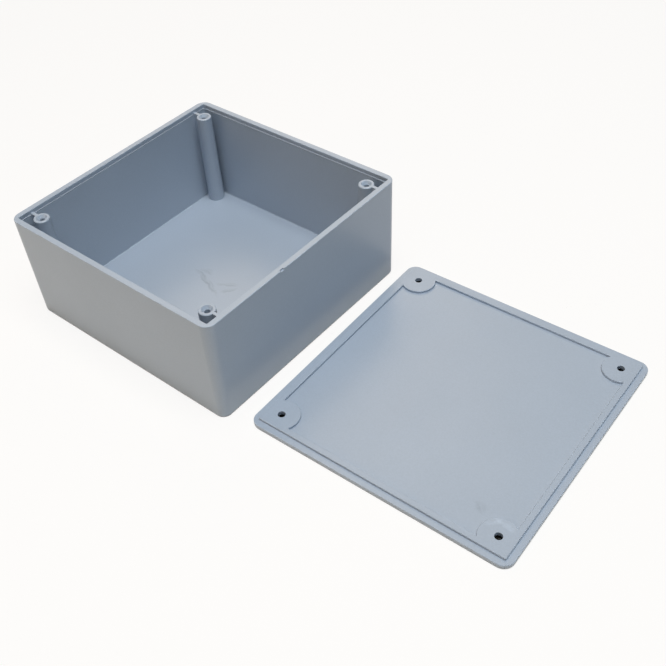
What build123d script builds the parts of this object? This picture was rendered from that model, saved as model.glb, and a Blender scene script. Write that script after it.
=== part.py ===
from build123d import *
from math import radians, tan
import os

# Project box: a square moulded base, and its screw-down lid taken off and
# laid beside it with the inner face up. Origin at the centre of the base's
# underside, +Z up, +X towards the lid. Millimetres and degrees.

# Outline, shared by base and lid
box_side = 100.0
corner_radius = 4.0

# Base shell
base_height = 43.5
outer_draft = 0.93
underside_edge_radius = 0.6
wall_thickness = 2.7
inner_draft = 1.4
inner_corner_radius = 0.5
floor_thickness = 2.5

# Rim: a lip with a rebate inside it that takes the lid's tongue
lip_width = 2.25
rebate_depth = 1.6
rim_edge_radius = 0.25
lip_edge_chamfer = 0.15
ledge_edge_radius = 0.3

# Screw pillars, one near each corner, each with a web to the side wall
screw_pitch = 84.0
pillar_drop = 1.1
pillar_top_radius = 3.0
pillar_draft = 0.65
pillar_edge_chamfer = 0.25
web_thickness = 1.2
web_draft = 0.25
pilot_radius = 1.1
pilot_depth = 18.0
recess_mouth_radius = 2.0
recess_floor_radius = 1.25
recess_depth = 1.1

# Small nick in the outer top edge, on the side towards the lid
nick_width = 1.6
nick_depth = 0.7
nick_drop = 0.6
nick_place = -14.1

# Lid
lid_thickness = 1.8
lid_outer_edge_radius = 0.5
lid_inner_edge_chamfer = 0.15
tongue_clearance = 0.1
pad_clearance = 0.1
tongue_width = 2.15
tongue_edge_chamfer = 0.15
pad_radius = 6.6
lid_hole_radius = 1.35
countersink_radius = 2.7
countersink_angle = 90.0

# Where the lid lies
lid_gap = 6.0
lid_shift = 5.7
lid_turn = 1.5

ledge_height = base_height - rebate_depth
pillar_height = base_height - pillar_drop
cavity_side = box_side - 2 * wall_thickness
rebate_side = box_side - 2 * lip_width
pillar_foot = floor_thickness / 2
pillar_foot_radius = pillar_top_radius + (pillar_height - pillar_foot) * tan(radians(pillar_draft))
tongue_height = pillar_drop - pad_clearance
tongue_side = rebate_side - 2 * tongue_clearance
tongue_corner_radius = inner_corner_radius - tongue_clearance
panel_side = tongue_side - 2 * tongue_width

# Screw pillar, wider towards the floor
with BuildPart() as pillar:
    with BuildSketch(Plane.XZ):
        with BuildLine():
            Polyline(
                (0, pillar_foot),
                (pillar_foot_radius, pillar_foot),
                (pillar_top_radius, pillar_height - pillar_edge_chamfer),
                (pillar_top_radius - pillar_edge_chamfer, pillar_height),
                (0, pillar_height),
                close=True,
            )
        make_face()
    revolve(axis=Axis.Z)

# Blind pilot hole with a tapered recess at its mouth
with BuildPart() as screw_hole:
    with BuildSketch(Plane.XZ):
        with BuildLine():
            Polyline(
                (0, pillar_height),
                (recess_mouth_radius, pillar_height),
                (recess_floor_radius, pillar_height - recess_depth),
                (pilot_radius, pillar_height - recess_depth),
                (pilot_radius, pillar_height - pilot_depth),
                (0, pillar_height - pilot_depth),
                close=True,
            )
        make_face()
    revolve(axis=Axis.Z)

# Space inside the base, narrower towards the floor
with BuildPart() as cavity:
    with BuildSketch(Plane.XY.offset(ledge_height)):
        Rectangle(cavity_side, cavity_side)
    extrude(amount=floor_thickness - ledge_height, taper=inner_draft)
    fillet(cavity.edges() - cavity.edges().group_by(Axis.Z)[-1], inner_corner_radius)

# Base
with BuildPart() as base:
    # Block with drafted walls, rounded below and at the rim
    with BuildSketch(Plane.XY.offset(base_height)):
        RectangleRounded(box_side, box_side, corner_radius)
    extrude(amount=-base_height, taper=outer_draft)
    fillet(base.edges().group_by(Axis.Z)[0], underside_edge_radius)
    fillet(base.edges().group_by(Axis.Z)[-1], rim_edge_radius)

    # Rebate inside the rim
    with BuildSketch(Plane.XY.offset(base_height)):
        RectangleRounded(rebate_side, rebate_side, inner_corner_radius)
    extrude(amount=-rebate_depth, mode=Mode.SUBTRACT)
    chamfer(base.faces().sort_by(Axis.Z)[-1].inner_wires()[0].edges(), lip_edge_chamfer)

    # Cavity down to the floor, rounded in its corners and at the ledge
    add(cavity.part, mode=Mode.SUBTRACT)
    ledge = base.faces().filter_by_position(Axis.Z, ledge_height, ledge_height).sort_by(SortBy.AREA)[-1]
    fillet(ledge.inner_wires()[0].edges(), ledge_edge_radius)

    # Pillars
    with GridLocations(screw_pitch, screw_pitch, 2, 2):
        add(pillar.part)

    # Webs, each from a pillar's centre line into the side wall
    web_length = (box_side - wall_thickness - screw_pitch) / 2
    with BuildSketch(Plane.XY.offset(pillar_height)):
        with GridLocations(screw_pitch + web_length, screw_pitch, 2, 2):
            Rectangle(web_length, web_thickness)
    extrude(amount=pillar_foot - pillar_height, taper=-web_draft)

    # Holes for the lid screws
    with GridLocations(screw_pitch, screw_pitch, 2, 2):
        add(screw_hole.part, mode=Mode.SUBTRACT)

    # Nick
    with Locations((box_side / 2, nick_place, base_height)):
        Box(2 * nick_depth, nick_width, 2 * nick_drop, mode=Mode.SUBTRACT)

# Lid, built on the plane where it lies, outer face down
lid_bed = Plane(
    origin=(box_side + lid_gap, lid_shift, 0),
    x_dir=Vector(1, 0, 0).rotate(Axis.Z, lid_turn),
    z_dir=(0, 0, 1),
)
lid_outer_face = Plane(origin=lid_bed.origin, x_dir=lid_bed.x_dir, z_dir=(0, 0, -1))

with BuildPart() as lid:
    # Flange
    with BuildSketch(lid_bed):
        RectangleRounded(box_side, box_side, corner_radius)
    extrude(amount=lid_thickness)
    fillet(lid.edges().group_by(Axis.Z)[0], lid_outer_edge_radius)
    chamfer(lid.edges().group_by(Axis.Z)[-1], lid_inner_edge_chamfer)

    # Tongue ring and the four pads flush with it
    with BuildSketch(lid_bed.offset(lid_thickness)):
        Rectangle(tongue_side, tongue_side)
        Rectangle(panel_side, panel_side, mode=Mode.SUBTRACT)
        with GridLocations(screw_pitch, screw_pitch, 2, 2):
            Circle(pad_radius)
        RectangleRounded(tongue_side, tongue_side, tongue_corner_radius, mode=Mode.INTERSECT)
    extrude(amount=tongue_height)
    chamfer(lid.faces().sort_by(Axis.Z)[-1].edges(), tongue_edge_chamfer)

    # Screw holes, countersunk from the outer face
    with Locations(lid_outer_face):
        with GridLocations(screw_pitch, screw_pitch, 2, 2):
            CounterSinkHole(lid_hole_radius, countersink_radius, counter_sink_angle=countersink_angle)

os.makedirs("parts", exist_ok=True)
base.part.label = "base"
lid.part.label = "lid"
export_step(base.part, "parts/base.step")
export_step(lid.part, "parts/lid.step")
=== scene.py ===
from math import cos, radians, sin

import bpy
from mathutils import Matrix, Vector

# Project box of light bluish grey ABS: a moulded base standing open, and its
# lid lying beside it with the inner face up. Metres and degrees.

# Camera: the point of the floor that it looks at, and where it stands
AIM = Vector((0.0524, 0.0061, 0))
DISTANCE = 0.3474
AZIMUTH = 41.51
ELEVATION = 43.84
ROLL = -3.95
FOCAL_LENGTH_MM = 50.27
SENSOR_WIDTH_MM = 36

# Plastic: a sheen that varies about a roughness of 0.27 shows as dark smudges,
# so all of its range lies above that
ABS_COLOUR = (0.345, 0.405, 0.48)
ABS_IOR = 1.54
ABS_ROUGHNESS = 0.3
SHEEN_SPREAD = 0.04
CLOUD_CONTRAST = 0.02
PIGMENT_CONTRAST = 0.03
WAVE_DEPTH = 0.00003
GRAIN_DEPTH = 0.000004

# Noise: how large its lumps are, and how many finer layers lie over them. The
# lumps of the streaks are measured in streak lengths and widths
CLOUD = {"size": 0.04, "detail": 3}
PIGMENT = {"size": 0.0005, "detail": 2}
SHEEN = {"size": 0.012, "detail": 4}
WAVE = {"size": 0.018, "detail": 1}
GRAIN = {"size": 0.0003, "detail": 2}
WAVER = {"size": 0.005, "detail": 2}
STREAKS = {"size": 1, "detail": 3}

# Range that most values of a noise lie in, and its middle as a colour
NOISE_LOW = 0.3
NOISE_HIGH = 0.7
NOISE_MIDDLE = (0.5, 0.5, 0.5)

# Faint marks in the plastic's colour: streaks and specks left by moulding and
# handling, and painted highlights along edges of the lid. For each, the middle of
# the patch, half its length and width, the way its streaks run in plan, and how
# much lighter or darker they are. A patch fades out beyond MARK_CORE of its size
MARKS = [
    # Streaks on the base's floor
    {"centre": (-0.0046, -0.0024, 0.0025), "half": (0.0115, 0.0013), "turn": -20, "tone": -0.24},
    {"centre": (0.0030, 0.0012, 0.0025), "half": (0.0058, 0.0014), "turn": 34, "tone": -0.17},
    {"centre": (0.0064, -0.0008, 0.0025), "half": (0.0042, 0.0012), "turn": 50, "tone": -0.17},
    {"centre": (-0.0092, 0.0024, 0.0025), "half": (0.0034, 0.0020), "turn": 10, "tone": -0.13},
    # Painted highlights along the edge of one of the lid's pads (two) and along the
    # edge of the ring, and specks beside the pad
    {"centre": (0.1486, -0.0300, 0.0028), "half": (0.0055, 0.0020), "turn": -8, "tone": 0.16},
    {"centre": (0.1450, -0.0312, 0.0028), "half": (0.0038, 0.0018), "turn": 53, "tone": 0.14},
    {"centre": (0.1330, -0.0385, 0.0026), "half": (0.0130, 0.0012), "turn": -1, "tone": 0.15},
    {"centre": (0.1384, -0.0293, 0.0020), "half": (0.0035, 0.0028), "turn": -45, "tone": -0.14},
]
MARK_HALF_DEPTH = 0.001
MARK_CORE = 0.5
STREAK_LENGTH = 0.008
STREAK_WIDTH = 0.0012
WAVER_SHIFT = 0.0035

# Painted shade on the narrow ledge inside the base's lip, where the lip shades it:
# the middle of the ledge, out from the base's axis and up, half its size, and how
# much the painted shade darkens it
LEDGE_OUT = 0.0475
LEDGE_UP = 0.04178
LEDGE_HALF_WIDTH = 0.0003
LEDGE_HALF_HEIGHT = 0.0002
LEDGE_SHADE = 0.35

# Floor: it lies a hair below the pieces, and FLOOR_GLOW is the share of plain
# white that the camera sees in it
FLOOR_SIDE = 6.0
FLOOR_DROP = 0.00002
FLOOR_COLOUR = (0.88, 0.82, 0.73)
FLOOR_GLOW = 0.85
WHITE = (1, 1, 1, 1)

# Contact shade on the floor, as seen straight and as mirrored: how far it
# reaches, and the open shares of a place where it is darkest and where it ends.
# SHADE_DARKEST is what is left of the floor's colour where it is darkest
SEEN_SHADE = {"reach": 0.004, "darkest_at": 0.25, "ends_at": 0.5}
MIRRORED_SHADE = {"reach": 0.008, "darkest_at": 0.5, "ends_at": 0.9}
SHADE_SAMPLES = 8
SHADE_DARKEST = 0.02

# Lamps, in metres and watts
LAMPS = {
    "overhead": {"place": (0.05, 0, 0.9), "side": 0.4, "power": 2.55, "colour": (1, 0.97, 0.93)},
    "high_right": {"place": (0.3, -0.05, 0.85), "side": 0.5, "power": 4.1, "colour": (0.94, 0.98, 1)},
    "front": {"place": (0.15, -0.35, 0.85), "side": 0.7, "power": 1.7, "colour": (0.88, 0.9, 1)},
    "back": {"place": (-0.5, 0.6, 0.8), "side": 0.6, "power": 1.75, "colour": (1, 0.77, 0.52)},
    "left": {"place": (-0.9, 0, 0.5), "side": 0.5, "power": 0.45, "colour": (1, 0.6, 0.1)},
    "low_left": {"place": (-0.4, -0.9, 0.3), "side": 0.5, "power": 1.65, "colour": (1, 0.74, 0.48)},
    "right": {"place": (0.9, 0.2, 0.5), "side": 0.5, "power": 0.45, "colour": (0.1, 0.5, 1)},
}


def add(tree, kind, inputs=None, **settings):
    """Adds a node: inputs are numbers, colours or sockets by input name, settings are its own properties."""
    node = tree.nodes.new(kind)
    for name, value in settings.items():
        setattr(node, name, value)
    for name, value in (inputs or {}).items():
        if isinstance(value, bpy.types.NodeSocket):
            tree.links.new(value, node.inputs[name])
        else:
            node.inputs[name].default_value = value
    return node


def calculate(tree, operation, *values):
    """The result of a Math node."""
    return add(tree, "ShaderNodeMath", dict(enumerate(values)), operation=operation).outputs[0]


def calculate_vector(tree, operation, *vectors):
    """The result of a Vector Math node that gives a vector."""
    return add(tree, "ShaderNodeVectorMath", dict(enumerate(vectors)), operation=operation).outputs["Vector"]


def scaled(tree, vector, scale):
    """A vector or colour times a value."""
    return add(tree, "ShaderNodeVectorMath", {0: vector, "Scale": scale}, operation="SCALE").outputs["Vector"]


def ramp(tree, value, start, end, low=0, high=1, shape="LINEAR"):
    """Goes from low to high as the value goes from start to end, and no further."""
    return add(
        tree,
        "ShaderNodeMapRange",
        {"Value": value, "From Min": start, "From Max": end, "To Min": low, "To Max": high},
        interpolation_type=shape,
    ).outputs["Result"]


def noise(tree, where, size, detail, output="Fac"):
    """Noise from 0 to 1 whose lumps are about size across."""
    return add(
        tree,
        "ShaderNodeTexNoise",
        {"Vector": where, "Scale": 1 / size, "Detail": detail},
    ).outputs[output]


def spread(tree, value, low, high):
    """Maps the middle of a noise's range to low and high."""
    return ramp(tree, value, NOISE_LOW, NOISE_HIGH, low, high)


def wavered(tree, where):
    """The place shifted a little to and fro, so that what is drawn there wavers."""
    shift = noise(tree, where, **WAVER, output="Color")
    centred = calculate_vector(tree, "SUBTRACT", shift, NOISE_MIDDLE)
    return calculate_vector(tree, "MULTIPLY_ADD", centred, (WAVER_SHIFT, WAVER_SHIFT, 0), where)


def streaks(tree, where, centre, half, turn, tone):
    """A factor near 1 that draws faint streaks in a soft-edged oval patch."""
    local = add(
        tree,
        "ShaderNodeMapping",
        {"Vector": where, "Location": centre, "Rotation": (0, 0, radians(turn))},
        vector_type="TEXTURE",
    ).outputs["Vector"]
    reach = calculate_vector(tree, "DIVIDE", local, (*half, MARK_HALF_DEPTH))
    distance = add(tree, "ShaderNodeVectorMath", {0: reach}, operation="LENGTH").outputs["Value"]
    inside = ramp(tree, distance, MARK_CORE, 1, 1, 0, "SMOOTHSTEP")
    per_streak = (1 / STREAK_LENGTH, 1 / STREAK_WIDTH, 1 / STREAK_LENGTH)
    drawn_out = calculate_vector(tree, "MULTIPLY", local, per_streak)
    lines = spread(tree, noise(tree, drawn_out, **STREAKS), 0, tone)
    return calculate(tree, "MULTIPLY_ADD", inside, lines, 1)


def painted_ledge_shade(tree, where):
    """A factor that is 1 but for the ledge inside the base's lip, where it is lower: painted shade."""
    unsigned = calculate_vector(tree, "ABSOLUTE", where)
    away = add(tree, "ShaderNodeSeparateXYZ", {"Vector": unsigned}).outputs
    out = calculate(tree, "MAXIMUM", away["X"], away["Y"])
    at_width = calculate(tree, "COMPARE", out, LEDGE_OUT, LEDGE_HALF_WIDTH)
    at_height = calculate(tree, "COMPARE", away["Z"], LEDGE_UP, LEDGE_HALF_HEIGHT)
    on_ledge = calculate(tree, "MULTIPLY", at_width, at_height)
    return calculate(tree, "MULTIPLY_ADD", on_ledge, -LEDGE_SHADE, 1)


def moulded_abs():
    """Satin moulded ABS: clouded and speckled colour, uneven sheen, fine grain and a slight waviness,
    with faint marks, painted highlights on edges of the lid and painted shade on the base's ledge.
    """
    material = bpy.data.materials.new("moulded_abs")
    material.use_nodes = True
    tree = material.node_tree
    shader = tree.nodes["Principled BSDF"]
    where = add(tree, "ShaderNodeTexCoord").outputs["Object"]

    cloud = spread(tree, noise(tree, where, **CLOUD), 1 - CLOUD_CONTRAST, 1 + CLOUD_CONTRAST)
    pigment = spread(tree, noise(tree, where, **PIGMENT), 1 - PIGMENT_CONTRAST, 1 + PIGMENT_CONTRAST)
    tone = calculate(tree, "MULTIPLY", cloud, pigment)
    drawn_at = wavered(tree, where)
    # streaks and specks in the plastic, and painted highlights on the lid's edges
    for mark in MARKS:
        tone = calculate(tree, "MULTIPLY", tone, streaks(tree, drawn_at, **mark))
    # painted shade on the ledge inside the base's lip
    tone = calculate(tree, "MULTIPLY", tone, painted_ledge_shade(tree, where))
    tree.links.new(scaled(tree, ABS_COLOUR, tone), shader.inputs["Base Color"])

    smoothest, roughest = ABS_ROUGHNESS - SHEEN_SPREAD / 2, ABS_ROUGHNESS + SHEEN_SPREAD / 2
    roughness = spread(tree, noise(tree, where, **SHEEN), smoothest, roughest)
    tree.links.new(roughness, shader.inputs["Roughness"])
    shader.inputs["IOR"].default_value = ABS_IOR

    wave = add(
        tree,
        "ShaderNodeBump",
        {"Height": noise(tree, where, **WAVE), "Distance": WAVE_DEPTH},
    ).outputs["Normal"]
    grain = add(
        tree,
        "ShaderNodeBump",
        {"Height": noise(tree, where, **GRAIN), "Distance": GRAIN_DEPTH, "Normal": wave},
    ).outputs["Normal"]
    tree.links.new(grain, shader.inputs["Normal"])
    return material


def views(tree):
    """Two values: 1 for what the camera sees straight, and 1 for what it sees mirrored or through glass."""
    path = add(tree, "ShaderNodeLightPath").outputs
    mirrored = calculate(tree, "MAXIMUM", path["Is Glossy Ray"], path["Is Transmission Ray"])
    return path["Is Camera Ray"], mirrored


def openness(tree, reach, darkest_at, ends_at):
    """0 to 1: how free a place on the floor is of the contact shade."""
    open_share = add(
        tree,
        "ShaderNodeAmbientOcclusion",
        {"Distance": reach},
        samples=SHADE_SAMPLES,
    ).outputs["AO"]
    return ramp(tree, open_share, darkest_at, ends_at)


def make_floor():
    """A plain pale floor that shows near white and keeps a soft shadow."""
    bpy.ops.mesh.primitive_plane_add(size=FLOOR_SIDE, location=(AIM.x, AIM.y, -FLOOR_DROP))
    floor = bpy.context.object
    floor.name = "floor"
    material = bpy.data.materials.new("pale_floor")
    material.use_nodes = True
    tree = material.node_tree
    tree.nodes.clear()
    straight, mirrored = views(tree)
    free_straight = openness(tree, **SEEN_SHADE)
    free_mirrored = openness(tree, **MIRRORED_SHADE)
    pale = scaled(tree, FLOOR_COLOUR, ramp(tree, free_straight, 0, 1, SHADE_DARKEST))
    matt = add(tree, "ShaderNodeBsdfDiffuse", {"Color": pale}).outputs[0]
    glow = add(tree, "ShaderNodeEmission", {"Color": WHITE}).outputs[0]
    lit_straight = calculate(tree, "MULTIPLY", straight, free_straight)
    lit_mirrored = calculate(tree, "MULTIPLY", mirrored, free_mirrored)
    lit = calculate(tree, "MAXIMUM", lit_straight, lit_mirrored)
    share = calculate(tree, "MULTIPLY", lit, FLOOR_GLOW)
    mixed = add(tree, "ShaderNodeMixShader", {0: share, 1: matt, 2: glow}).outputs[0]
    add(tree, "ShaderNodeOutputMaterial", {"Surface": mixed})
    floor.data.materials.append(material)


def make_sky():
    """A sky that shows as plain white and gives no light of its own."""
    world = bpy.data.worlds.new("sky")
    bpy.context.scene.world = world
    world.use_nodes = True
    tree = world.node_tree
    tree.nodes.clear()
    dark = add(tree, "ShaderNodeBackground", {"Color": WHITE, "Strength": 0}).outputs[0]
    shown = add(tree, "ShaderNodeBackground", {"Color": WHITE, "Strength": 1}).outputs[0]
    seen = calculate(tree, "MAXIMUM", *views(tree))
    mixed = add(tree, "ShaderNodeMixShader", {0: seen, 1: dark, 2: shown}).outputs[0]
    add(tree, "ShaderNodeOutputWorld", {"Surface": mixed})


def make_softbox(name, place, side, power, colour):
    """A square area light that faces the point that the camera looks at."""
    lamp = bpy.data.lights.new(name, "AREA")
    lamp.size = side
    lamp.energy = power
    lamp.color = colour
    softbox = bpy.data.objects.new(name, lamp)
    bpy.context.scene.collection.objects.link(softbox)
    softbox.location = place
    softbox.rotation_euler = (AIM - softbox.location).to_track_quat("-Z", "Y").to_euler()


def make_camera():
    """The photo's camera: it looks at AIM and leans by ROLL."""
    lens = bpy.data.cameras.new("camera")
    lens.sensor_width = SENSOR_WIDTH_MM
    lens.lens = FOCAL_LENGTH_MM
    camera = bpy.data.objects.new("camera", lens)
    bpy.context.scene.collection.objects.link(camera)
    turn, tilt = radians(AZIMUTH), radians(ELEVATION)
    back = Vector((sin(turn) * cos(tilt), -cos(turn) * cos(tilt), sin(tilt)))
    level = (-back).to_track_quat("-Z", "Y").to_matrix().to_4x4()
    lean = Matrix.Rotation(radians(ROLL), 4, "Z")
    camera.matrix_world = Matrix.Translation(AIM + back * DISTANCE) @ level @ lean
    bpy.context.scene.camera = camera


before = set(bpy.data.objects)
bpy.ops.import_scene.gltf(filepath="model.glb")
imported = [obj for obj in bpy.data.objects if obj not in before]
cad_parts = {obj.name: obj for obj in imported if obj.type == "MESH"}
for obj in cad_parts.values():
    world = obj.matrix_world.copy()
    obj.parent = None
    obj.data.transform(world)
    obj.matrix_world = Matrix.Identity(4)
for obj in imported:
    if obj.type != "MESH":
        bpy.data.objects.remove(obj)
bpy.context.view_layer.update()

plastic = moulded_abs()
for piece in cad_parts.values():
    piece.data.materials.clear()
    piece.data.materials.append(plastic)

make_floor()
make_sky()
for name, lamp in LAMPS.items():
    make_softbox(name, **lamp)
make_camera()
bpy.context.scene.view_settings.view_transform = "Standard"
